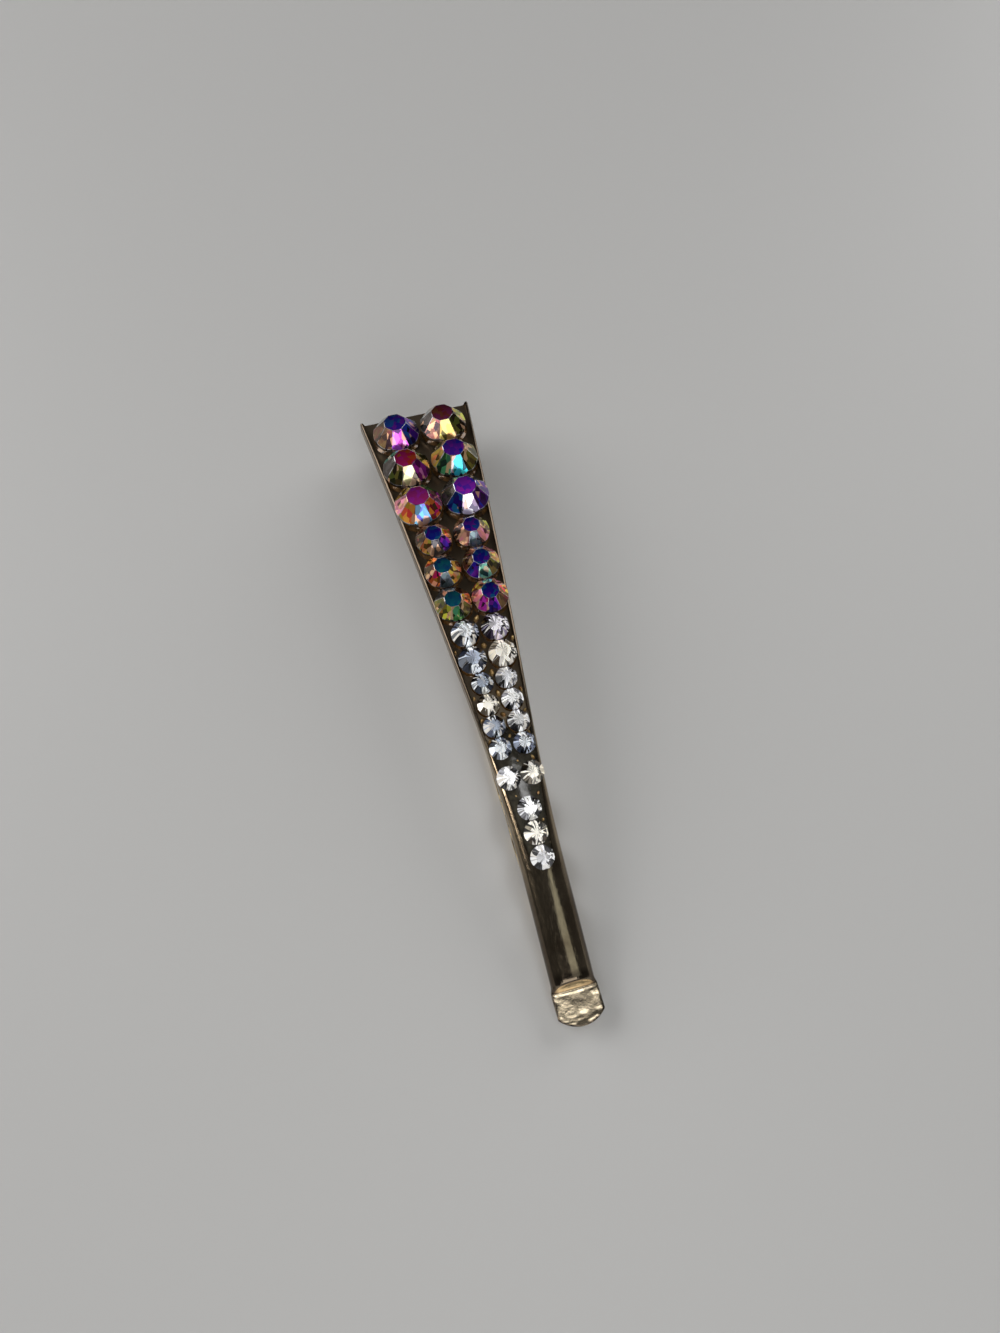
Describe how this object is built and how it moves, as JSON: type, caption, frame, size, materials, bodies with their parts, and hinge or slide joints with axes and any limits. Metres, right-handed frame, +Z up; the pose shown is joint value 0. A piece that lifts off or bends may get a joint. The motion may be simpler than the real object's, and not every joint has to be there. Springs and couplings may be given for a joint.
{
  "type": "hair clip",
  "caption": "Slim arched hair clip: a tapering gold-tone tray of cut stones on a half-round leg, with a spring strip bent back under it to grip the hair.",
  "frame": {"origin": "on the surface that the clip lies on, under the middle of its bounding box", "axes": "+Y towards the wide end, +Z up through the stones, X across the clip"},
  "size_m": [0.0122, 0.066, 0.0097],
  "materials": {
    "gold_leg": "polished pale gold plating, smooth on the tray and strip, hammered on the tip tab",
    "gold_spring": "gold-plated rolled spring strip, satin along its length",
    "clear_adhesive": "clear jewellery adhesive, glossy, seen gold over the tray's floor",
    "iridescent_stone": "facet-cut, foil-backed, with an iridescent coating from violet and teal to gold",
    "clear_stone": "facet-cut clear crystal with a silver foil back"
  },
  "bodies": {
    "lower": {"lower_leg": "gold_spring", "spring_bend": "gold_spring"},
    "upper": {"upper_leg": "gold_leg", "spring_foot": "gold_spring", "glue_large": "clear_adhesive", "glue_medium": "clear_adhesive", "glue_small": "clear_adhesive", "glue_tiny": "clear_adhesive", "glue_last": "clear_adhesive", "glue_single": "clear_adhesive", "ab_stone_l1": "iridescent_stone", "ab_stone_r1": "iridescent_stone", "ab_stone_l2": "iridescent_stone", "ab_stone_r2": "iridescent_stone", "ab_stone_l3": "iridescent_stone", "ab_stone_r3": "iridescent_stone", "ab_stone_l4": "iridescent_stone", "ab_stone_r4": "iridescent_stone", "ab_stone_l5": "iridescent_stone", "ab_stone_r5": "iridescent_stone", "ab_stone_l6": "iridescent_stone", "ab_stone_r6": "iridescent_stone", "clear_stone_l7": "clear_stone", "clear_stone_r7": "clear_stone", "clear_stone_l8": "clear_stone", "clear_stone_r8": "clear_stone", "clear_stone_l9": "clear_stone", "clear_stone_r9": "clear_stone", "clear_stone_l10": "clear_stone", "clear_stone_r10": "clear_stone", "clear_stone_l11": "clear_stone", "clear_stone_r11": "clear_stone", "clear_stone_l12": "clear_stone", "clear_stone_r12": "clear_stone", "clear_stone_l13": "clear_stone", "clear_stone_r13": "clear_stone", "clear_stone_s1": "clear_stone", "clear_stone_s2": "clear_stone", "clear_stone_s3": "clear_stone"}
  },
  "joints": [
    {"name": "clip_opening", "type": "hinge", "parent": "lower", "child": "upper", "pos_m": [0, 0.0303, 0.00238], "axis": [-1, 0, 0], "range_deg": [0, 10], "stiffness_Nm_per_rad": 0.5, "springref_deg": -3.44, "deforming": ["spring_bend"]}
  ]
}
